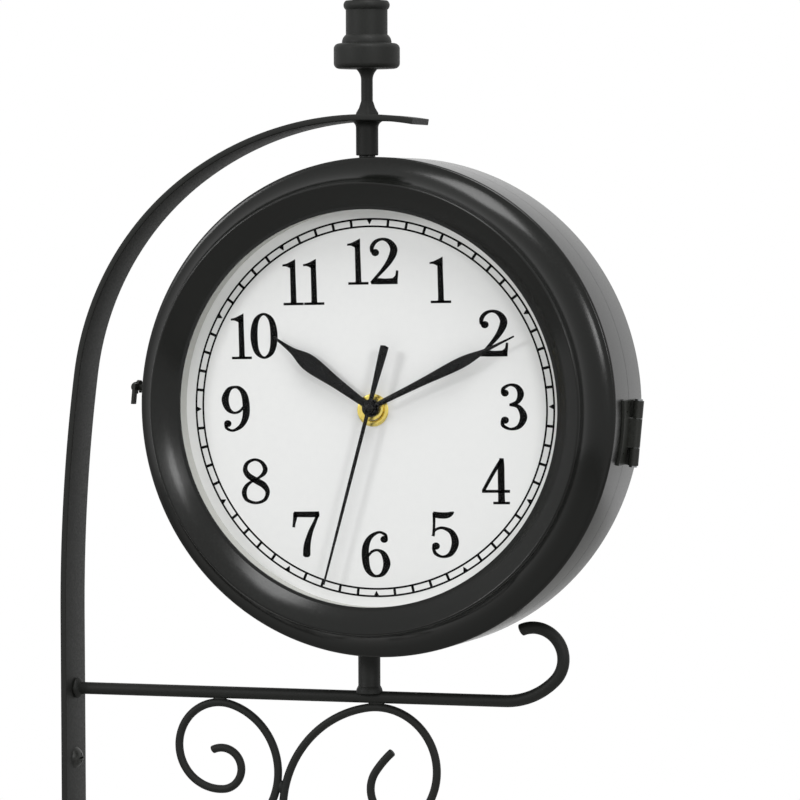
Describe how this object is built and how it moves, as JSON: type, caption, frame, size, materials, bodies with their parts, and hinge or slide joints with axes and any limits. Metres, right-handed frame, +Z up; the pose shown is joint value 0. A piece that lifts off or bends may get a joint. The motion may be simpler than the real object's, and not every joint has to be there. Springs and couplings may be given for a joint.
{
  "type": "double sided wall clock",
  "caption": "Double sided round clock that swivels in a scrolled wall bracket; the front half of its case opens on a hinge.",
  "frame": {"origin": "on the wall, midway between the two free screw holes of the wall bar", "axes": "+Z up, +X away from the wall, -Y towards the reader of the front dial"},
  "size_m": [0.2954, 0.086, 0.5945],
  "materials": {
    "bracket_paint": "satin black paint on mild steel",
    "case_paint": "satin black paint on pressed steel",
    "screw_paint": "black dome head screw",
    "hinge_paint": "satin black paint",
    "steel": "plain steel",
    "contact_steel": "nickel plated spring steel",
    "washer_brass": "plain brass",
    "bush_brass": "bright brass",
    "dial_white": "white enamel paint",
    "hand_black": "gloss black paint",
    "spacer": "white plastic",
    "movement_plastic": "black moulded plastic",
    "knob_plastic": "light moulded plastic",
    "tube_plastic": "acetal",
    "cell_jacket": "printed film jacket, plain",
    "rubber": "black rubber",
    "glass": "clear flat glass"
  },
  "bodies": {
    "bracket": {"wall_bar": "bracket_paint", "wall_screw": "screw_paint", "support_rod": "bracket_paint", "small_scroll": "bracket_paint", "large_scroll": "bracket_paint", "upper_sleeve": "bracket_paint", "lower_post": "bracket_paint", "finial_stem": "bracket_paint", "finial": "bracket_paint"},
    "head": {"rear_case": "case_paint", "seam_hoop": "steel", "upper_pin": "steel", "lower_pin": "steel", "thrust_washer": "washer_brass", "hinge_rear_leaf": "hinge_paint", "hinge_pin": "hinge_paint", "latch_pivot_stud": "hinge_paint", "rear_glass": "glass", "rear_spacer_ring": "spacer", "rear_dial": "dial_white", "rear_dial_ring": "steel", "rear_gasket": "rubber", "rear_movement": "movement_plastic", "rear_battery": "cell_jacket", "rear_battery_contacts": "contact_steel", "rear_bush": "bush_brass", "rear_washer": "bush_brass", "rear_nut": "bush_brass"},
    "front_half": {"front_case": "case_paint", "hinge_front_leaf": "hinge_paint", "latch_catch_stud": "hinge_paint", "front_glass": "glass", "front_spacer_ring": "spacer", "front_dial": "dial_white", "front_dial_ring": "steel", "front_gasket": "rubber", "front_movement": "movement_plastic", "front_battery": "cell_jacket", "front_battery_contacts": "contact_steel", "front_bush": "bush_brass", "front_washer": "bush_brass", "front_nut": "bush_brass"},
    "latch": {"latch_hook": "hinge_paint"},
    "front_hour": {"front_hour_hand": "hand_black", "front_hour_tube": "tube_plastic"},
    "front_minute": {"front_minute_hand": "hand_black", "front_minute_shaft": "tube_plastic"},
    "front_second": {"front_second_hand": "hand_black", "front_second_arbor": "steel"},
    "front_knob": {"front_setting_knob": "knob_plastic"},
    "rear_hour": {"rear_hour_hand": "hand_black", "rear_hour_tube": "tube_plastic"},
    "rear_minute": {"rear_minute_hand": "hand_black", "rear_minute_shaft": "tube_plastic"},
    "rear_second": {"rear_second_hand": "hand_black", "rear_second_arbor": "steel"},
    "rear_knob": {"rear_setting_knob": "knob_plastic"}
  },
  "joints": [
    {"name": "head_swivel", "type": "hinge", "parent": "bracket", "child": "head", "pos_m": [0.157, 0, 0.2915], "axis": [0, 0, 1], "range_deg": [-90, 90]},
    {"name": "case_opening", "type": "hinge", "parent": "head", "child": "front_half", "pos_m": [0.29143, 0, 0.27962], "axis": [0.0958, 0, 0.9954], "range_deg": [0, 115]},
    {"name": "latch_lift", "type": "hinge", "parent": "head", "child": "latch", "pos_m": [0.04573, 0.008, 0.29925], "axis": [-0.9954, 0, 0.0958], "range_deg": [0, 100]},
    {"name": "front_minute_turn", "type": "hinge", "parent": "front_half", "child": "front_minute", "pos_m": [0.168, 0, 0.2915], "axis": [0, 1, 0], "continuous": true},
    {"name": "front_hour_turn", "type": "hinge", "parent": "front_half", "child": "front_hour", "pos_m": [0.168, 0, 0.2915], "axis": [0, 1, 0], "continuous": true},
    {"name": "front_second_turn", "type": "hinge", "parent": "front_half", "child": "front_second", "pos_m": [0.168, 0, 0.2915], "axis": [0, 1, 0], "continuous": true},
    {"name": "front_knob_turn", "type": "hinge", "parent": "front_half", "child": "front_knob", "pos_m": [0.159, 0, 0.3015], "axis": [0, 1, 0], "continuous": true},
    {"name": "rear_minute_turn", "type": "hinge", "parent": "head", "child": "rear_minute", "pos_m": [0.168, 0, 0.2915], "axis": [0, -1, 0], "continuous": true},
    {"name": "rear_hour_turn", "type": "hinge", "parent": "head", "child": "rear_hour", "pos_m": [0.168, 0, 0.2915], "axis": [0, -1, 0], "continuous": true},
    {"name": "rear_second_turn", "type": "hinge", "parent": "head", "child": "rear_second", "pos_m": [0.168, 0, 0.2915], "axis": [0, -1, 0], "continuous": true},
    {"name": "rear_knob_turn", "type": "hinge", "parent": "head", "child": "rear_knob", "pos_m": [0.177, 0, 0.3015], "axis": [0, -1, 0], "continuous": true}
  ],
  "couplings": [
    {"joint": "front_hour_turn", "follows": "front_minute_turn", "ratio": 0.083333},
    {"joint": "front_knob_turn", "follows": "front_minute_turn", "ratio": -0.33333},
    {"joint": "rear_hour_turn", "follows": "rear_minute_turn", "ratio": 0.083333},
    {"joint": "rear_knob_turn", "follows": "rear_minute_turn", "ratio": -0.33333}
  ]
}
